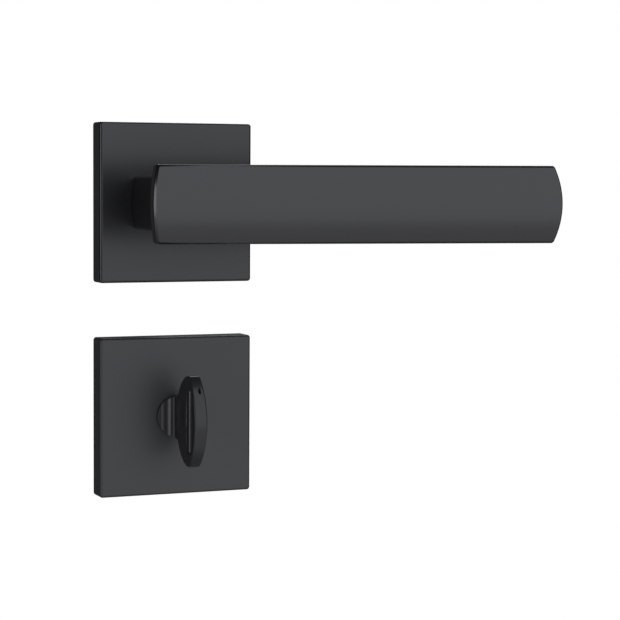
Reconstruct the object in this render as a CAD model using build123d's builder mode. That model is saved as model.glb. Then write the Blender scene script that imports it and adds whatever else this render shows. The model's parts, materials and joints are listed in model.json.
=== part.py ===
from build123d import *

import math
import os

# Door lever handle on a square rose, with a separate thumb-turn on a matching rose below it.
# Millimetres. The door's face is the plane y = 0 and the lever's spindle lies on the Y axis.
# +X runs along the grip to its free end, +Y goes into the door and +Z is up.
# Depth is measured outwards from the door's face, so a depth of 8 is y = -8.

# --- driving dimensions ---
turn_z = -72.0  # height of the thumb-turn's axis below the lever's

# roses
rose_size = 53.5
rose_depth = 8.0
rose_corner = 1.0  # radius of the four upright corners
rose_edge = 0.95  # radius round the front face
cover_wall = 1.2
cover_front = 1.4
cover_gap = 0.1  # between the cover and the base, all round
base_size = rose_size - 2 * (cover_wall + cover_gap)
base_depth = rose_depth - cover_front - 2 * cover_gap

# fixing screws, M4
screw_spacing = 38.0
screw_radius = 2.0
collar_radius = 2.3  # the plain part under the head, inside the base
screw_reach = 43.3  # how far the screws stand into the door
screw_seat = 3.2  # depth at which the heads sit
head_radius = 3.6
head_height = 2.4

# cover grub screws, M3
grub_radius = 1.5
grub_length = 3.6
grub_x = 12.0
grub_depth = 3.1

# lever
grip_left = -21.7
grip_right = 124.75
grip_front = 50.0
grip_thickness = 4.0
grip_crown = 46.0  # radius of the front across the grip
grip_end = 37.0  # radius of the free end
grip_heel = 47.0  # radius of the end over the rose
grip_half_root = 12.55
grip_half_tip = 13.2
grip_corner = 1.2
grip_bevel = 0.75  # round the front
grip_back_edge = 0.5
neck_start = 8.4
neck_half_height = 8.9
neck_corner_x = 14.7
neck_side_x = 15.8
neck_edge = 1.4
neck_widening = 1.2  # how much further out the sides are at the grip than at the rose
neck_heightening = 0.4
grip_screw_x = 11.5
grip_screw_tip = 48.5  # inside the grip's thickness
grip_screw_seat = 13.3
grip_screw_head = 4.1

# lever journal, spindle and what turns with them
front_journal = 7.6
rear_journal = 7.0
journal_shoulder = 4.5
journal_end = 0.4
journal_flat = 6.0  # from the axis to each of the two flats
clip_thickness = 0.7
clip_groove = 0.6  # depth of the circlip's groove
clip_start = 0.7
spindle_side = 8.0
spindle_reach = 60.0  # how far the spindle stands into the door
spindle_in_neck = 34.0
running_gap = 0.06
thread_gap = 0.05
set_screw_radius = 2.5
set_screw_depth = 14.0

# return spring
pocket_radius = 14.4
pocket_floor = 3.3
rotor_radius = 11.8
rotor_start = 3.4
rotor_end = 4.3
spring_radius = 10.2
spring_wire = 0.35  # the wire's radius
spring_pitch = 0.8
lever_travel = 40.0  # degrees

# thumb-turn
knob_start = 8.3
boss_radius = 7.1
waist_half = 1.8  # the groove between the boss and the blade
blade_start = 13.4
blade_half = 2.25
blade_half_end = 1.85
ring_half_height = 15.2
ring_half_depth = 11.5
ring_centre = 25.3
ring_front = 33.3
ring_front_radius = 20.5
ring_rim = 1.5  # thickness of the bow in front of the slot
slot_start = 24.3
slot_half_height = 10.2
slot_back_radius = 2.0
mark_height = 10.7
mark_x = 0.35
mark_width = 0.95
mark_length = 2.1
mark_bottom = 4.3  # behind the ring's foremost point
turn_journal = 5.0
turn_journal_end = 0.6
turn_spindle_side = 5.0
turn_socket_end = 10.0
turn_spindle_reach = 45.0
pin_depth = 4.6
pin_radius = 0.75
turn_clip_start = 0.9
turn_clip_thickness = 0.65
turn_clip_groove = 0.5


# The plane at this depth, seen from the room: X to the right, Z up, its normal out of the door.
def outward(depth, centre_z=0.0):
    return Plane(origin=(0, -depth, centre_z), x_dir=(1, 0, 0), z_dir=(0, -1, 0))


# The plane at this height, seen from below: X to the right, its normal up.
def upward(centre_x, depth, height):
    return Plane((centre_x, -depth, height), (1, 0, 0), (0, 0, 1))


# The plane across the thumb-turn at this X, seen from its right: local X goes into the door.
def sideways(centre_x, depth=0.0):
    return Plane((centre_x, -depth, turn_z), (0, 1, 0), (1, 0, 0))


# A plain ring or washer about a spindle's axis, between two depths.
def washer(centre_z, inner, outer, start, end):
    with BuildPart() as piece:
        with BuildSketch(outward(start, centre_z)):
            Circle(outer)
            Circle(inner, mode=Mode.SUBTRACT)
        extrude(amount=end - start)
    return piece


# --- roses ---
# The square shell that shows: rounded round its front, open at the back, bored for the journal.
def rose_cover(centre_z, hole_radius):
    with BuildPart() as cover:
        with BuildSketch(outward(0, centre_z)):
            RectangleRounded(rose_size, rose_size, rose_corner)
        extrude(amount=rose_depth)
        front_edges = cover.faces().sort_by(Axis.Y)[0].edges()
        fillet(front_edges, rose_edge)
        with BuildSketch(outward(0, centre_z)):
            Rectangle(rose_size - 2 * cover_wall, rose_size - 2 * cover_wall)
        extrude(amount=rose_depth - cover_front, mode=Mode.SUBTRACT)
        with BuildSketch(outward(0, centre_z)):
            Circle(hole_radius)
        extrude(amount=rose_depth, mode=Mode.SUBTRACT)
        # the grub screw's hole, in the underside
        with BuildSketch(upward(grub_x, grub_depth, centre_z - rose_size / 2)):
            Circle(grub_radius + cover_gap)
        extrude(amount=cover_wall, mode=Mode.SUBTRACT)
    return cover


# The mounting plate: two screw seats, a hole for the bush and a recess behind it for the circlip.
def rose_base(centre_z, bush_radius, recess_radius, recess_depth):
    with BuildPart() as base:
        with BuildSketch(outward(0, centre_z)):
            RectangleRounded(base_size, base_size, rose_corner)
        extrude(amount=base_depth)
        with Locations(outward(base_depth, centre_z)):
            with GridLocations(0, screw_spacing, 1, 2):
                CounterBoreHole(collar_radius + 0.1, head_radius + 0.3, base_depth - screw_seat)
        with BuildSketch(outward(0, centre_z)):
            Circle(bush_radius)
        extrude(amount=base_depth, mode=Mode.SUBTRACT)
        with BuildSketch(outward(0, centre_z)):
            Circle(recess_radius)
        extrude(amount=recess_depth, mode=Mode.SUBTRACT)
        with BuildSketch(upward(grub_x, grub_depth, centre_z - base_size / 2)):
            Circle(grub_radius + thread_gap)
        extrude(amount=grub_length, mode=Mode.SUBTRACT)
    return base


# Two pan-headed M4 screws that go through the door, with crossed driver slots.
def fixing_screws(centre_z):
    from_top = (Align.CENTER, Align.CENTER, Align.MAX)
    with BuildPart() as screws:
        with Locations(outward(screw_seat + head_height, centre_z)):
            with GridLocations(0, screw_spacing, 1, 2):
                Cylinder(head_radius, head_height, align=from_top)
        with Locations(outward(screw_seat, centre_z)):
            with GridLocations(0, screw_spacing, 1, 2):
                Cylinder(collar_radius, screw_seat, align=from_top)
        with Locations(outward(0, centre_z)):
            with GridLocations(0, screw_spacing, 1, 2):
                Cylinder(screw_radius, screw_reach, align=from_top)
        rims = screws.faces().group_by(Axis.Y)[0].edges()
        fillet(rims, 0.8)
        tips = screws.faces().group_by(Axis.Y)[-1].edges()
        chamfer(tips, 0.5)
        with BuildSketch(outward(screw_seat + head_height, centre_z)):
            with GridLocations(0, screw_spacing, 1, 2):
                Rectangle(4.0, 0.9)
                Rectangle(0.9, 4.0)
        extrude(amount=-1.5, mode=Mode.SUBTRACT)
    return screws


# A headless screw standing upright in an underside, with its hexagon socket facing down.
def grub_screw(centre_x, depth, bottom_z, radius, length, key_size):
    with BuildPart() as grub:
        with BuildSketch(upward(centre_x, depth, bottom_z)):
            Circle(radius)
            RegularPolygon(key_size / 2, 6, major_radius=False, mode=Mode.SUBTRACT)
        extrude(amount=length / 2)
        with BuildSketch(upward(centre_x, depth, bottom_z + length / 2)):
            Circle(radius)
        extrude(amount=length / 2)
        chamfer(grub.faces().sort_by(Axis.Z)[-1].edges(), radius * 0.3)
    return grub


# An open retaining ring with two lugs that are bored for the pliers.
def circlip(centre_z, groove_radius, outer, start, thickness):
    gap_half = 0.9
    lug = 1.3
    with BuildPart() as clip:
        with BuildSketch(outward(start, centre_z)):
            Circle(outer)
            with Locations((gap_half + lug, -outer + 0.2), (-gap_half - lug, -outer + 0.2)):
                Circle(lug)
            Circle(groove_radius, mode=Mode.SUBTRACT)
            with Locations((0, -outer)):
                Rectangle(2 * gap_half, outer, mode=Mode.SUBTRACT)
            with Locations((gap_half + lug, -outer), (-gap_half - lug, -outer)):
                Circle(0.5, mode=Mode.SUBTRACT)
        extrude(amount=thickness)
    return clip


# A nylon bush with its flange at its first depth or at its last.
def flanged_bush(centre_z, inner, outer, flange, start, end, flange_thickness, flange_first):
    flange_start = start if flange_first else end - flange_thickness
    with BuildPart() as bush:
        with BuildSketch(outward(start, centre_z)):
            Circle(outer)
        extrude(amount=end - start)
        with BuildSketch(outward(flange_start, centre_z)):
            Circle(flange)
        extrude(amount=flange_thickness)
        with BuildSketch(outward(start, centre_z)):
            Circle(inner)
        extrude(amount=end - start, mode=Mode.SUBTRACT)
    return bush


lever_rose_cover = rose_cover(0, front_journal + 0.65)
turn_rose_cover = rose_cover(turn_z, turn_journal + 0.6)
lever_fixing_screws = fixing_screws(0)
turn_fixing_screws = fixing_screws(turn_z)
grub_bottom = -rose_size / 2 + 0.4
lever_cover_grub = grub_screw(grub_x, grub_depth, grub_bottom, grub_radius, grub_length, 1.5)
turn_cover_grub = grub_screw(grub_x, grub_depth, turn_z + grub_bottom, grub_radius, grub_length, 1.5)

# --- lever set ---
# The grip is a strip of constant thickness, curved across its width, with both ends cut on an arc.
crown_centre = grip_front - grip_crown  # depth of the axis that the strip is curved about
end_sag = grip_end - math.sqrt(grip_end**2 - grip_half_tip**2)
heel_sag = grip_heel - math.sqrt(grip_heel**2 - grip_half_root**2)
with BuildPart() as lever_grip:
    with BuildSketch(outward(0)):
        with BuildLine():
            Line((grip_left + heel_sag, grip_half_root), (grip_right - end_sag, grip_half_tip))
            ThreePointArc(
                (grip_right - end_sag, grip_half_tip),
                (grip_right, 0),
                (grip_right - end_sag, -grip_half_tip),
            )
            Line((grip_right - end_sag, -grip_half_tip), (grip_left + heel_sag, -grip_half_root))
            ThreePointArc(
                (grip_left + heel_sag, -grip_half_root),
                (grip_left, 0),
                (grip_left + heel_sag, grip_half_root),
            )
        make_face()
    extrude(amount=grip_front + 2)
    with BuildSketch(Plane.YZ.offset(grip_left - 2)):
        with Locations((-crown_centre, 0)):
            Circle(grip_crown)
            Circle(grip_crown - grip_thickness, mode=Mode.SUBTRACT)
        Rectangle(grip_crown, 2 * grip_crown, align=(Align.MIN, Align.CENTER), mode=Mode.SUBTRACT)
    extrude(amount=grip_right - grip_left + 4, mode=Mode.INTERSECT)
    corners = lever_grip.edges().filter_by(Axis.Y)
    fillet(corners, grip_corner)
    chamfer(lever_grip.faces().sort_by(Axis.Y)[0].edges(), grip_bevel)
    fillet(lever_grip.faces().sort_by(Axis.Y)[-1].edges(), grip_back_edge)
    with Locations(outward(grip_screw_tip + 0.2)):
        with Locations((grip_screw_x, 0), (-grip_screw_x, 0)):
            Cylinder(
                screw_radius + thread_gap,
                2 * grip_thickness,
                align=(Align.CENTER, Align.CENTER, Align.MAX),
                mode=Mode.SUBTRACT,
            )

# The neck stands on the rose, widens outwards and ends against the back of the grip.
with BuildPart() as lever_neck:
    for depth, wider, higher in (
        (neck_start, 0, 0),
        (grip_front, neck_widening, neck_heightening),
    ):
        corner, side, top = neck_corner_x + wider, neck_side_x + wider, neck_half_height + higher
        with BuildSketch(outward(depth)):
            with BuildLine():
                Line((-corner, top), (corner, top))
                ThreePointArc((corner, top), (side, 0), (corner, -top))
                Line((corner, -top), (-corner, -top))
                ThreePointArc((-corner, -top), (-side, 0), (-corner, top))
            make_face()
    loft()
    uprights = lever_neck.edges().filter_by(lambda e: abs(e.tangent_at(0.5).Y) > 0.9)
    fillet(uprights, neck_edge)
    with BuildSketch(Plane.YZ.offset(-30)):
        with Locations((-crown_centre, 0)):
            Circle(grip_crown - grip_thickness - 0.02)
    extrude(amount=60, mode=Mode.INTERSECT)
    chamfer(lever_neck.faces().sort_by(Axis.Y)[-1].edges(), 0.3)
    # journal: a full round in front, then a smaller one with two flats that carries the rotor
    with BuildSketch(outward(neck_start)):
        Circle(front_journal)
    extrude(amount=journal_shoulder - neck_start)
    with BuildSketch(outward(journal_shoulder)):
        Circle(rear_journal)
        Rectangle(2 * rear_journal, 2 * journal_flat, mode=Mode.INTERSECT)
    extrude(amount=journal_end - journal_shoulder)
    with BuildSketch(outward(clip_start)):
        Circle(rear_journal + 1)
        Circle(rear_journal - clip_groove, mode=Mode.SUBTRACT)
    extrude(amount=clip_thickness + 2 * thread_gap, mode=Mode.SUBTRACT)
    # square socket for the spindle, the grub screw under it, and the two long screws' holes
    with BuildSketch(outward(journal_end)):
        Rectangle(spindle_side + 0.1, spindle_side + 0.1)
    extrude(amount=spindle_in_neck + 1 - journal_end, mode=Mode.SUBTRACT)
    with BuildSketch(upward(0, set_screw_depth, -20)):
        Circle(set_screw_radius + thread_gap)
    extrude(amount=18, mode=Mode.SUBTRACT)
    with BuildSketch(outward(neck_start)):
        with Locations((grip_screw_x, 0), (-grip_screw_x, 0)):
            Circle(screw_radius + 0.1)
    extrude(amount=grip_front, mode=Mode.SUBTRACT)
    with BuildSketch(outward(neck_start)):
        with Locations((grip_screw_x, 0), (-grip_screw_x, 0)):
            Circle(head_radius)
    extrude(amount=grip_screw_seat + 0.1 - neck_start, mode=Mode.SUBTRACT)

# Two long socket-headed screws that reach through the neck into the back of the grip.
with BuildPart() as grip_screws:
    with BuildSketch(outward(grip_screw_seat - grip_screw_head)):
        with Locations((grip_screw_x, 0), (-grip_screw_x, 0)):
            Circle(head_radius - 0.15)
            RegularPolygon(1.5, 6, major_radius=False, mode=Mode.SUBTRACT)
    extrude(amount=grip_screw_head / 2)
    with BuildSketch(outward(grip_screw_seat - grip_screw_head / 2)):
        with Locations((grip_screw_x, 0), (-grip_screw_x, 0)):
            Circle(head_radius - 0.15)
    extrude(amount=grip_screw_head / 2)
    with BuildSketch(outward(grip_screw_seat)):
        with Locations((grip_screw_x, 0), (-grip_screw_x, 0)):
            Circle(screw_radius)
    extrude(amount=grip_screw_tip - grip_screw_seat)

lever_set_screw = grub_screw(0, set_screw_depth, -8.5, set_screw_radius, 4.4, 2.5)

with BuildPart() as lever_spindle:
    with BuildSketch(outward(-spindle_reach)):
        Rectangle(spindle_side, spindle_side)
    extrude(amount=spindle_reach + spindle_in_neck)
    chamfer(lever_spindle.faces().sort_by(Axis.Y)[-1].edges(), 0.8)
    chamfer(lever_spindle.faces().sort_by(Axis.Y)[0].edges(), 0.8)

lever_front_bush = flanged_bush(
    0, front_journal + running_gap, front_journal + 0.6, 8.6, 6.65, rose_depth + 0.28, 0.24, False
)
lever_rear_bush = flanged_bush(
    0, rear_journal + running_gap, 8.5, 10.5, 1.85, pocket_floor, 0.4, True
)
lever_thrust_washer = washer(0, rear_journal + 0.1, 10.3, 1.5, 1.8)
lever_circlip = circlip(
    0, rear_journal - clip_groove + thread_gap, 9.2, clip_start + thread_gap, clip_thickness
)


# Corner points of a block between two radii and two angles, in degrees from +X towards +Z.
def sector(inner, outer, first, last):
    points = [(inner, first), (outer, first), (outer, last), (inner, last)]
    return [(r * math.cos(math.radians(a)), r * math.sin(math.radians(a))) for r, a in points]


# Turning the lever down moves the rotor's ear from 270 degrees towards 230, and its lug from 140.
ear_half = 8.0
stop_gap = 1.5
lug_angle = 140.0
post_angle = 58.0
post_ring = 13.3
post_radius = 1.2
plain_base = rose_base(0, 8.55, 11.0, 2.3)
with BuildPart() as lever_rose_base:
    add(plain_base.part)
    with BuildSketch(outward(pocket_floor)):
        Circle(pocket_radius)
    extrude(amount=base_depth - pocket_floor, mode=Mode.SUBTRACT)
    with BuildSketch(outward(pocket_floor)):
        with BuildLine():
            Polyline(sector(post_ring, 14.7, 270 + ear_half + stop_gap, 287), close=True)
        make_face()
        with BuildLine():
            Polyline(
                sector(post_ring, 14.7, 212, 270 - ear_half - lever_travel - stop_gap), close=True
            )
        make_face()
        with PolarLocations(post_ring, 1, start_angle=post_angle):
            Circle(post_radius)
        Circle(pocket_radius + 0.3, mode=Mode.INTERSECT)
    extrude(amount=base_depth - pocket_floor)

with BuildPart() as spring_rotor:
    with BuildSketch(outward(rotor_start)):
        Circle(rotor_radius)
        with BuildLine():
            Polyline(sector(11, 13.9, 270 - ear_half, 270 + ear_half), close=True)
        make_face()
        with BuildSketch(mode=Mode.PRIVATE) as bore:
            Circle(rear_journal + 0.05)
            Rectangle(2 * rear_journal + 1, 2 * journal_flat + 0.1, mode=Mode.INTERSECT)
        add(bore.sketch, mode=Mode.SUBTRACT)
    extrude(amount=rotor_end - rotor_start)
    with BuildSketch(outward(rotor_end)):
        with BuildLine():
            Polyline(sector(10.9, 11.8, lug_angle, lug_angle + 9), close=True)
        make_face()
    extrude(amount=base_depth - rotor_end)

# Nearly two turns of round wire. One leg presses on the rotor's lug, the other on the base's post.
rotor_leg = lug_angle - 3.0
base_leg = post_angle + 7.5
spring_turns = (base_leg - rotor_leg) / 360 + 2
with BuildPart() as upright_spring:  # drawn about +Z, with the rotor's leg on +X
    with BuildLine() as coil:
        Helix(pitch=spring_pitch, height=spring_pitch * spring_turns, radius=spring_radius)
    with BuildSketch(Plane(coil.line @ 0, z_dir=coil.line % 0)):
        Circle(spring_wire)
    sweep()
    for turns, leg_length in ((0, 2.0), (spring_turns, 3.2)):
        across, up = math.cos(math.tau * turns), math.sin(math.tau * turns)
        foot = (spring_radius * across, spring_radius * up, spring_pitch * turns)
        with Locations(Plane(foot, z_dir=(across, up, 0))):
            Cylinder(spring_wire, leg_length, align=(Align.CENTER, Align.CENTER, Align.MIN))
            Sphere(spring_wire)

with BuildPart() as return_spring:
    spring_plane = Plane(
        origin=(0, -(rotor_end + 0.1 + spring_wire), 0),
        x_dir=(math.cos(math.radians(rotor_leg)), 0, math.sin(math.radians(rotor_leg))),
        z_dir=(0, -1, 0),
    )
    with Locations(spring_plane):
        add(upright_spring.part)

# --- thumb-turn set ---
turn_rose_base = rose_base(turn_z, 6.25, 9.0, 2.65)
turn_bush = flanged_bush(turn_z, turn_journal + running_gap, 6.2, 8.4, 2.1, 6.3, 0.5, True)
turn_thrust_washer = washer(turn_z, turn_journal + 0.1, 8.2, 1.7, 2.0)
turn_circlip = circlip(
    turn_z,
    turn_journal - turn_clip_groove + thread_gap,
    7.0,
    turn_clip_start + thread_gap,
    turn_clip_thickness,
)

# The round boss is scooped away on both sides down to a groove, and the blade stands out of that.
with BuildPart() as turn_boss:
    with BuildSketch(outward(knob_start, turn_z)):
        Circle(boss_radius)
    extrude(amount=ring_centre - ring_half_depth + 2 - knob_start)
    with BuildSketch(Plane.XY.offset(turn_z - boss_radius)):
        with BuildLine():
            Polyline((0, -knob_start), (boss_radius, -knob_start), (boss_radius, -9.3), (6.5, -9.7))
            ThreePointArc((6.5, -9.7), (4.05, -10.35), (2.6, -11.9))
            Polyline((2.6, -11.9), (waist_half, -12.1), (waist_half, -20), (0, -20))
            mirror(about=Plane.YZ)
        make_face()
    extrude(amount=2 * boss_radius, mode=Mode.INTERSECT)

with BuildPart() as turn_knob:
    # blade and ring in one: an oval from the side, cut off in front by a wide arc
    with BuildSketch(sideways(-2 * blade_half)):
        with Locations((-ring_centre, 0)):
            Ellipse(ring_half_depth, ring_half_height)
        with Locations((ring_front_radius - ring_front, 0)):
            Circle(ring_front_radius, mode=Mode.INTERSECT)
        with Locations((-blade_start, 0)):
            Rectangle(5, 2 * boss_radius, align=(Align.MAX, Align.CENTER))
    extrude(amount=4 * blade_half)
    # thinner towards both ends
    far = ring_half_height + 1
    with BuildSketch(outward(blade_start, turn_z)):
        with BuildLine():
            ThreePointArc((blade_half_end, -far), (blade_half, 0), (blade_half_end, far))
            Line((blade_half_end, far), (-blade_half_end, far))
            ThreePointArc((-blade_half_end, far), (-blade_half, 0), (-blade_half_end, -far))
            Line((-blade_half_end, -far), (blade_half_end, -far))
        make_face()
    extrude(amount=ring_front, mode=Mode.INTERSECT)
    ends = [edge for edge in turn_knob.edges() if abs(edge.center().X) < 0.1]
    fillet([edge for edge in ends if edge.center().Y < -ring_centre - 1], 2.2)
    flanks = turn_knob.faces().sort_by(Axis.X)
    rims = [edge for flank in (flanks[0], flanks[-1]) for edge in flank.edges()]
    fillet([edge for edge in rims if edge.center().Y < -17.5], 0.55)
    # the long slot, its front parallel to the ring's
    with BuildSketch(sideways(-2 * blade_half)):
        with Locations((ring_front_radius - ring_front, 0)):
            Circle(ring_front_radius - ring_rim)
        with Locations((-slot_start, 0)):
            Rectangle(
                12, 2 * slot_half_height, align=(Align.MAX, Align.CENTER), mode=Mode.INTERSECT
            )
        fillet(vertices(), 1.6)
    extrude(amount=4 * blade_half, mode=Mode.SUBTRACT)
    flanks = turn_knob.faces().sort_by(Axis.X)
    mouths = [wire for flank in (flanks[0], flanks[-1]) for wire in flank.inner_wires()]
    fillet([edge for mouth in mouths for edge in mouth.edges()], 0.6)
    # a half-round back to the slot, and a small mark in the ring's front
    with BuildSketch(Plane.XY.offset(turn_z - slot_half_height)):
        with Locations((0, -slot_start)):
            Circle(slot_back_radius)
    extrude(amount=2 * slot_half_height)
    with BuildSketch(outward(ring_front, turn_z + mark_height)):
        with Locations((mark_x, 0)):
            RectangleRounded(mark_width, mark_length, 0.3)
    extrude(amount=-mark_bottom, mode=Mode.SUBTRACT)
    add(turn_boss.part)
    # journal, circlip groove, square socket and cross-pin hole
    with BuildSketch(outward(knob_start, turn_z)):
        Circle(turn_journal)
    extrude(amount=turn_journal_end - knob_start)
    with BuildSketch(outward(turn_clip_start, turn_z)):
        Circle(turn_journal + 1)
        Circle(turn_journal - turn_clip_groove, mode=Mode.SUBTRACT)
    extrude(amount=turn_clip_thickness + 2 * thread_gap, mode=Mode.SUBTRACT)
    with BuildSketch(outward(turn_journal_end, turn_z)):
        Rectangle(turn_spindle_side + 0.1, turn_spindle_side + 0.1)
    extrude(amount=turn_socket_end - turn_journal_end, mode=Mode.SUBTRACT)
    with BuildSketch(sideways(-6, pin_depth)):
        Circle(pin_radius + thread_gap)
    extrude(amount=12, mode=Mode.SUBTRACT)

with BuildPart() as turn_spindle:
    with BuildSketch(outward(-turn_spindle_reach, turn_z)):
        Rectangle(turn_spindle_side, turn_spindle_side)
    extrude(amount=turn_spindle_reach + turn_socket_end - 0.3)
    chamfer(turn_spindle.faces().sort_by(Axis.Y)[-1].edges(), 0.5)
    with BuildSketch(sideways(-6, pin_depth)):
        Circle(pin_radius + thread_gap)
    extrude(amount=12, mode=Mode.SUBTRACT)

with BuildPart() as turn_spindle_pin:
    with BuildSketch(sideways(-4.9, pin_depth)):
        Circle(pin_radius)
    extrude(amount=9.8)

# --- write one STEP file for each piece ---
pieces = {
    "lever_rose_cover": lever_rose_cover,
    "lever_rose_base": lever_rose_base,
    "lever_fixing_screws": lever_fixing_screws,
    "lever_cover_grub": lever_cover_grub,
    "lever_front_bush": lever_front_bush,
    "lever_rear_bush": lever_rear_bush,
    "return_spring": return_spring,
    "lever_grip": lever_grip,
    "lever_neck": lever_neck,
    "grip_screws": grip_screws,
    "lever_set_screw": lever_set_screw,
    "lever_spindle": lever_spindle,
    "lever_thrust_washer": lever_thrust_washer,
    "lever_circlip": lever_circlip,
    "spring_rotor": spring_rotor,
    "turn_rose_cover": turn_rose_cover,
    "turn_rose_base": turn_rose_base,
    "turn_fixing_screws": turn_fixing_screws,
    "turn_cover_grub": turn_cover_grub,
    "turn_bush": turn_bush,
    "turn_knob": turn_knob,
    "turn_spindle": turn_spindle,
    "turn_spindle_pin": turn_spindle_pin,
    "turn_thrust_washer": turn_thrust_washer,
    "turn_circlip": turn_circlip,
}
os.makedirs("parts", exist_ok=True)
for name, piece in pieces.items():
    piece.part.label = name
    export_step(piece.part, f"parts/{name}.step")
    print(name, len(piece.part.solids()), "solid(s), valid", piece.part.is_valid)
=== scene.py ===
# Door lever handle with a separate thumb-turn, both on square roses, in matte black.
# Metres, in the row frame: +X along the grip, +Y into the door, +Z up.
import json
import math

import bpy
import numpy as np
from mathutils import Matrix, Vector


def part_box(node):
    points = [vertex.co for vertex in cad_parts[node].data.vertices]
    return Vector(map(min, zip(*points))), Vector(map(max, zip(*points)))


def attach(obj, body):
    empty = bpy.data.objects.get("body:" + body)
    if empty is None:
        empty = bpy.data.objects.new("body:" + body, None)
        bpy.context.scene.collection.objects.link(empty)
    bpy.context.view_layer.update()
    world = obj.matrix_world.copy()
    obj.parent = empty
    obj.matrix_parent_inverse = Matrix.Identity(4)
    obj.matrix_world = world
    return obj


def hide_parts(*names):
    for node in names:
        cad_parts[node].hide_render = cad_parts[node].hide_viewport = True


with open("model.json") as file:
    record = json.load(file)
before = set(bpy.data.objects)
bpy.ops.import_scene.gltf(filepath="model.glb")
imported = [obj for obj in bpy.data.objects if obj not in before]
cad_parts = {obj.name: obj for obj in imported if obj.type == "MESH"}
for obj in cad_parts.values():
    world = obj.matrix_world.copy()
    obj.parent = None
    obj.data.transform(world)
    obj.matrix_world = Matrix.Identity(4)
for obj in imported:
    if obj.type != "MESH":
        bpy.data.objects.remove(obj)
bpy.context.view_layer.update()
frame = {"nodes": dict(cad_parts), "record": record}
mm = 0.001
scene = bpy.context.scene
print("frame loaded:", len(frame["nodes"]), "pieces of hardware")


# A wire is one output of a node. Adding or multiplying wires puts in a Math node.
class Wire:
    def __init__(self, paint, socket):
        self.paint = paint
        self.socket = socket

    def maths(self, operation, first, second):
        return self.paint.node("Math", {"operation": operation}, {0: first, 1: second})

    def __add__(self, other):
        return self.maths("ADD", self, other)

    def __mul__(self, other):
        return self.maths("MULTIPLY", self, other)


class Paint:
    def __init__(self, name):
        self.material = bpy.data.materials.new(name)
        self.material.use_nodes = True
        self.tree = self.material.node_tree
        self.shader = self.tree.nodes["Principled BSDF"]
        self.place = self.node("TexCoord", output="Object")

    # settings are set first, because some of them change which sockets a node has
    def node(self, kind, settings=None, sockets=None, output=0):
        made = self.tree.nodes.new("ShaderNode" + kind)
        for key, value in (settings or {}).items():
            setattr(made, key, value)
        for key, value in (sockets or {}).items():
            self.feed(made.inputs[key], value)
        return Wire(self, made.outputs[output])

    def feed(self, socket, value):
        if isinstance(value, Wire):
            self.tree.links.new(value.socket, socket)
        else:
            socket.default_value = value

    def finish(self, **sockets):
        for key, value in sockets.items():
            self.feed(self.shader.inputs[key.replace("_", " ")], value)
        return self.material

    # speckle between 0 and 1, with grains of this size in metres
    def grain(self, size, detail=2.0, stretch=(1, 1, 1)):
        where = self.node("Mapping", {}, {"Vector": self.place, "Scale": stretch})
        return self.node(
            "TexNoise", {}, {"Vector": where, "Scale": 1 / size, "Detail": detail, "Roughness": 0.55}
        )

    # a colour between two, by a wire between 0 and 1
    def between(self, factor, first, second):
        return self.node(
            "Mix", {"data_type": "RGBA"}, {0: factor, 6: first, 7: second}, output=2
        )

    # a wire squeezed from one range into another
    def span(self, wire, low, high, outLow, outHigh):
        return self.node(
            "MapRange",
            {"clamp": True},
            {"Value": wire, "From Min": low, "From Max": high, "To Min": outLow, "To Max": outHigh},
        )

    def bump(self, height, depth):
        return self.node("Bump", {}, {"Height": height, "Distance": depth})


# Most of a speckle's values lie between these two.
speckle = (0.3, 0.7)


# Paint on metal: a clouded dark colour, and roughness and a bump from its fine orange peel.
def coat(name, look):
    paint = Paint(name)
    peel = paint.grain(look["peel"], 3.0)
    cloud = paint.grain(look["cloud"], 2.0)
    tint = paint.between(cloud, (*look["dark"], 1), (*look["light"], 1))
    rough = paint.span(peel * 0.6 + cloud * 0.4, *speckle, *look["rough"])
    return paint.finish(
        Base_Color=tint,
        Roughness=rough,
        Normal=paint.bump(peel, look["depth"]),
        Specular_IOR_Level=look["specular"],
    )


# Bare metal: its grain can be drawn out along an axis.
def metal(name, look):
    paint = Paint(name)
    lines = paint.grain(look["grain"], 3.0, look.get("stretch", (1, 1, 1)))
    cloud = paint.grain(look["cloud"], 2.0)
    tint = paint.between(cloud, (*look["dark"], 1), (*look["light"], 1))
    rough = paint.span(lines, *speckle, *look["rough"])
    return paint.finish(
        Base_Color=tint, Roughness=rough, Metallic=1.0, Normal=paint.bump(lines, look["depth"])
    )


# Moulded nylon, which lets a little light into itself.
def nylon(name, look):
    paint = Paint(name)
    flow = paint.grain(look["grain"], 2.0)
    tint = paint.between(flow, (*look["dark"], 1), (*look["light"], 1))
    rough = paint.span(flow, *speckle, *look["rough"])
    return paint.finish(
        Base_Color=tint,
        Roughness=rough,
        Normal=paint.bump(flow, look["depth"]),
        Subsurface_Weight=look["glow"],
    )


# Finishes, one to each of the record's material slots. Colours are linear.
powder = {
    "dark": (0.0072, 0.0075, 0.0080), "light": (0.0086, 0.0090, 0.0096), "rough": (0.27, 0.30),
    "peel": 0.45 * mm, "cloud": 14 * mm, "depth": 0.0012 * mm, "specular": 0.385,
}
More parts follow.
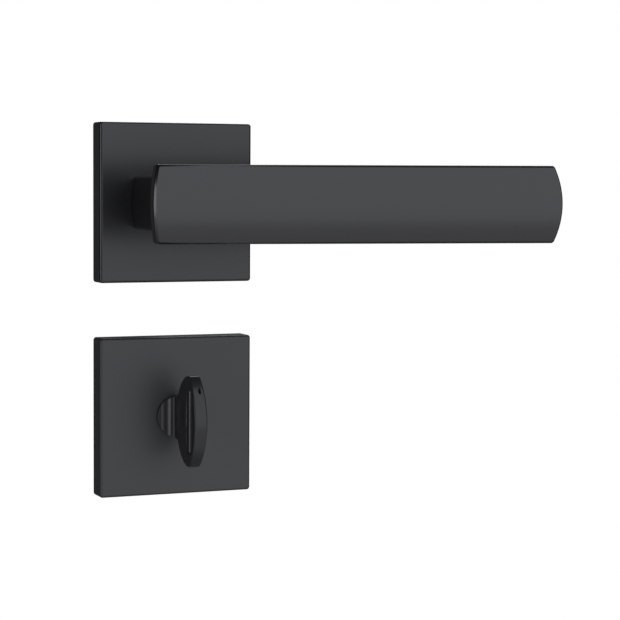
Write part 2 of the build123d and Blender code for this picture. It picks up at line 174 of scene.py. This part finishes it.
# The lower rose is duller: it hardly mirrors the turn. Its colour is also painted lighter than the
# upper rose's, though both are the same paint, to lift the shade the turn's reflection leaves on it:
# painted light.
dullPowderPaintedLighter = dict(powder, dark=(0.017, 0.0175, 0.0185), light=(0.021, 0.0215, 0.0225),
                  rough=(0.4, 0.44), specular=0.38)
satin = {
    "dark": (0.0032, 0.0033, 0.0035), "light": (0.0042, 0.0044, 0.0046), "rough": (0.22, 0.25),
    "peel": 0.35 * mm, "cloud": 18 * mm, "depth": 0.001 * mm, "specular": 0.45,
}
gloss = {
    "dark": (0.0125, 0.0128, 0.0134), "light": (0.0155, 0.0158, 0.0165), "rough": (0.22, 0.27),
    "peel": 0.5 * mm, "cloud": 6 * mm, "depth": 0.001 * mm, "specular": 0.27,
}
finishes = {
    "rose_black": coat("roseBlack", powder),
    "lever_black": coat("leverBlack", satin),
    "turn_black": coat("turnBlack", gloss),
    "base_zinc": metal("castZinc", {
        "dark": (0.30, 0.30, 0.31), "light": (0.46, 0.46, 0.47), "rough": (0.42, 0.62),
        "grain": 0.6 * mm, "cloud": 7 * mm, "depth": 0.03 * mm,
    }),
    "screw_steel": metal("zincPlate", {
        "dark": (0.58, 0.55, 0.44), "light": (0.70, 0.70, 0.68), "rough": (0.24, 0.36),
        "grain": 0.3 * mm, "cloud": 4 * mm, "depth": 0.006 * mm,
    }),
    "grub_steel": metal("blackOxide", {
        "dark": (0.03, 0.03, 0.033), "light": (0.055, 0.055, 0.06), "rough": (0.34, 0.48),
        "grain": 0.3 * mm, "cloud": 3 * mm, "depth": 0.006 * mm,
    }),
    "spindle_steel": metal("drawnSteel", {
        "dark": (0.46, 0.46, 0.46), "light": (0.60, 0.60, 0.60), "rough": (0.26, 0.42),
        "grain": 0.25 * mm, "stretch": (1, 0.03, 1), "cloud": 12 * mm, "depth": 0.008 * mm,
    }),
    "spring_steel": metal("springSteel", {
        "dark": (0.24, 0.24, 0.25), "light": (0.38, 0.38, 0.39), "rough": (0.22, 0.34),
        "grain": 0.2 * mm, "cloud": 3 * mm, "depth": 0.004 * mm,
    }),
    "bush_nylon": nylon("naturalNylon", {
        "dark": (0.66, 0.64, 0.57), "light": (0.76, 0.745, 0.68), "rough": (0.42, 0.55),
        "grain": 0.8 * mm, "depth": 0.01 * mm, "glow": 0.15,
    }),
}
for part in frame["record"]["subparts"]:
    shown = frame["nodes"][part["node"]]
    shown.data.materials.clear()
    shown.data.materials.append(finishes[part["material_slot"]])
# The lower rose's cover takes the duller copy of the rose paint, painted lighter than the upper
# rose's to lift the shade around the turn.
frame["nodes"]["turn_rose_cover"].data.materials[0] = coat("roseBlackDullPaintedLighter", dullPowderPaintedLighter)
print("finishes made:", len(finishes))


# The four long screws have rolled M4 threads, which their CAD solids leave plain.
# Their heads' size, their places and their length come from those solids' boxes.
# samples is rows in each pitch, around is points in each row, cross is the driver slot's
# narrowest and widest radius, and tip is how far from its end a screw starts to taper.
screwLook = {
    "pitch": 0.7 * mm, "root": 1.62 * mm, "crest": 2.0 * mm, "samples": 6, "around": 48,
    "headHeight": 2.4 * mm, "dome": 0.8 * mm, "domeRows": 7, "collar": 2.3 * mm,
    "cross": (0.55 * mm, 2.1 * mm), "crossDepth": 1.5 * mm,
    "tip": 1.1 * mm, "tipRadius": 1.22 * mm, "tipSlope": 0.9, "sharp": 35,
}


# Rows of vertices, rows x around x 3, to a closed tube with one more vertex at each end.
def closedTube(grid, first, last):
    rows, around = grid.shape[:2]
    row, turn = np.meshgrid(np.arange(rows - 1), np.arange(around), indexing="ij")
    here = row * around + turn
    beside = row * around + (turn + 1) % around
    quads = np.stack([here, beside, beside + around, here + around], -1).reshape(-1, 4)
    ring = np.arange(around)
    start, end = rows * around, rows * around + 1
    nearCap = np.stack([np.full(around, start), (ring + 1) % around, ring], -1)
    lastRow = (rows - 1) * around
    farCap = np.stack([np.full(around, end), lastRow + ring, lastRow + (ring + 1) % around], -1)
    points = np.concatenate([grid.reshape(-1, 3), np.array([first, last])])
    return points, quads, np.concatenate([nearCap, farCap])


# One mesh object from several of those tubes.
def meshFrom(name, parts, sharp):
    points, loops, sizes, base = [], [], [], 0
    for corners, quads, triangles in parts:
        points.append(corners)
        loops += [(quads + base).ravel(), (triangles + base).ravel()]
        sizes += [np.full(len(quads), 4), np.full(len(triangles), 3)]
        base += len(corners)
    allPoints, allLoops = np.concatenate(points), np.concatenate(loops)
    allSizes = np.concatenate(sizes)
    mesh = bpy.data.meshes.new(name)
    mesh.vertices.add(len(allPoints))
    mesh.vertices.foreach_set("co", allPoints.ravel())
    mesh.loops.add(len(allLoops))
    mesh.loops.foreach_set("vertex_index", allLoops.astype(np.int32))
    mesh.polygons.add(len(allSizes))
    mesh.polygons.foreach_set("loop_start", (np.cumsum(allSizes) - allSizes).astype(np.int32))
    mesh.polygons.foreach_set("use_smooth", np.ones(len(allSizes), dtype=bool))
    mesh.update(calc_edges=True)
    mesh.set_sharp_from_angle(angle=math.radians(sharp))
    made = bpy.data.objects.new(name, mesh)
    scene.collection.objects.link(made)
    return made


# One screw. Each row is a depth y and a radius at every angle:
# the head's rows turn in at a cross-shaped outline, inner + (outer - inner) cos(2a)^4;
# the shank's radius is root + (crest - root) (1 - |2 frac(y / pitch - a / 2 pi) - 1|).
def screwGrid(look, centreX, centreZ, head, top, reach):
    angle = np.linspace(0, 2 * np.pi, look["around"], endpoint=False)
    plain = np.ones_like(angle)
    inner, outer = look["cross"]
    cross = inner + (outer - inner) * np.cos(2 * angle) ** 4
    seat = top + look["headHeight"]
    deep, dome = look["crossDepth"], look["dome"]
    rows = [(top + deep, cross * 0.55), (top + deep * 0.8, cross * 0.8), (top, cross)]
    for step in np.linspace(0, np.pi / 2, look["domeRows"]):
        edge = head - dome * (1 - np.sin(step))
        rows.append((top + dome * (1 - np.cos(step)), edge * plain))
    collar = look["collar"] * plain
    rows += [(seat, head * plain), (seat, collar), (0.0, collar)]
    count = int(reach / look["pitch"] * look["samples"])
    along = np.linspace(0, reach, count)[:, None]
    phase = (along / look["pitch"] - angle / (2 * np.pi)) % 1
    thread = look["root"] + (look["crest"] - look["root"]) * (1 - np.abs(2 * phase - 1))
    left = reach - along
    cone = look["tipRadius"] + look["tipSlope"] * left
    thread = np.where(left < look["tip"], np.minimum(thread, cone), thread)
    runOut = np.clip(along / look["pitch"], 0, 1)  # the thread grows over its first turn
    thread = look["root"] + (thread - look["root"]) * runOut
    depth = np.concatenate([[row[0] for row in rows], along.ravel()])
    radius = np.concatenate([np.stack([row[1] for row in rows]), thread])
    return np.stack([
        centreX + radius * np.cos(angle),
        np.repeat(depth[:, None], len(angle), 1),
        centreZ - radius * np.sin(angle),
    ], -1)


def fixingScrews(name, node, look):
    low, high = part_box(node)
    centreX, head = (low.x + high.x) / 2, (high.x - low.x) / 2
    parts = []
    for middle in (low.z + head, high.z - head):
        grid = screwGrid(look, centreX, middle, head, low.y, high.y)
        ends = [(centreX, grid[row, 0, 1], middle) for row in (0, -1)]
        parts.append(closedTube(grid, *ends))
    screws = meshFrom(name, parts, look["sharp"])
    screws.data.materials.append(finishes["screw_steel"])
    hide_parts(node)
    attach(screws, "roses")
    return screws


for setName in ("lever", "turn"):
    fixingScrews(setName + "ThreadedScrews", setName + "_fixing_screws", screwLook)
print("threaded screws made")


# Light panels: a large one in front, a smaller one on the left for the grip's rim, a faint one
# behind on the left that the side walls mirror, and one high behind on the right for the back.
# The light is a little cool, and the backdrop is white to the camera only.
studio = {
    "floorZ": -0.45, "floorColour": (0.5, 0.5, 0.5, 1), "floorGlow": 0.75, "glowY": (-0.32, -0.1),
    "floorX": (-1.7, 1.7), "floorY": (-1.6, 0.9), "world": 0.025, "cool": (0.92, 0.947, 1.0),
    # place, aim, width and height, radiance
    "front": ((0.8, -1.6, 1.2), (0.8, 0.0, 1.2), (2.4, 3.4), 1.97),
    "left": ((-1.5, -0.62, 0.1), (0.0, 0.0, 0.0), (0.7, 0.9), 4.3),
    "right": ((0.7, 1.3, 1.35), (0.0, 0.0, -0.04), (1.3, 0.8), 3.0),
    "back": ((-0.62, 1.5, 0.0), (0.0, 0.0, 0.0), (0.8, 1.6), 0.06),
}


# A rectangular light that mirrors in the coat with this radiance, whatever its size.
def softBox(name, colour, place, aim, size, radiance):
    light = bpy.data.lights.new(name, "AREA")
    light.shape = "RECTANGLE"
    light.size, light.size_y = size
    light.energy = radiance * math.pi * size[0] * size[1]
    light.color = colour
    box = bpy.data.objects.new(name, light)
    scene.collection.objects.link(box)
    box.location = place
    box.visible_camera = False
    away = box.location - Vector(aim)
    box.rotation_euler = away.to_track_quat("Z", "Y").to_euler()
    return box


def makeFloor(look):
    mesh = bpy.data.meshes.new("studioFloor")
    (left, right), (near, far) = look["floorX"], look["floorY"]
    corners = [(left, near), (right, near), (right, far), (left, far)]
    mesh.from_pydata([(x, y, look["floorZ"]) for x, y in corners], [], [(0, 1, 2, 3)])
    floor = bpy.data.objects.new("studioFloor", mesh)
    scene.collection.objects.link(floor)
    paint = Paint("palePaper")
    along = paint.node("SeparateXYZ", {}, {0: paint.place}, output=1)
    seen = paint.node("LightPath", output="Is Camera Ray")
    glow = paint.span(along, *look["glowY"], 1, 0) + seen  # it lights the front from below
    mesh.materials.append(paint.finish(
        Base_Color=look["floorColour"], Roughness=0.9, Specular_IOR_Level=0.1,
        Emission_Color=paint.between(glow, (0, 0, 0, 1), (1, 1, 1, 1)),
        Emission_Strength=look["floorGlow"]))


def makeStudio(look):
    makeFloor(look)
    for name in ("front", "left", "right", "back"):
        softBox(name + "Light", look["cool"], *look[name])
    world = bpy.data.worlds.new("studioWorld")
    scene.world = world
    world.use_nodes = True
    nodes, links = world.node_tree.nodes, world.node_tree.links
    ground = nodes["Background"]
    ground.inputs["Color"].default_value = (1, 1, 1, 1)
    ground.inputs["Strength"].default_value = look["world"]
    backdrop = nodes.new("ShaderNodeBackground")
    backdrop.inputs["Color"].default_value = (1, 1, 1, 1)
    path = nodes.new("ShaderNodeLightPath")
    mix = nodes.new("ShaderNodeMixShader")
    links.new(path.outputs["Is Camera Ray"], mix.inputs[0])
    links.new(ground.outputs[0], mix.inputs[1])
    links.new(backdrop.outputs[0], mix.inputs[2])
    links.new(mix.outputs[0], nodes["World Output"].inputs[0])
    scene.view_settings.view_transform = "Standard"


# Place in metres, turns in degrees, lens and sensor in millimetres.
photoView = {
    "place": (-0.21193, -0.63483, 0.00897), "turns": (86.1134, -0.3446, -22.5564),
    "lens": 113.884, "sensor": 36.0, "nearest": 0.01,
}


def makeCamera(look):
    lensData = bpy.data.cameras.new("photoCamera")
    lensData.lens = look["lens"]
    lensData.sensor_width = look["sensor"]
    lensData.clip_start = look["nearest"]
    camera = bpy.data.objects.new("photoCamera", lensData)
    scene.collection.objects.link(camera)
    camera.location = look["place"]
    camera.rotation_euler = [math.radians(turn) for turn in look["turns"]]
    scene.camera = camera


makeStudio(studio)
makeCamera(photoView)
print("studio ready")
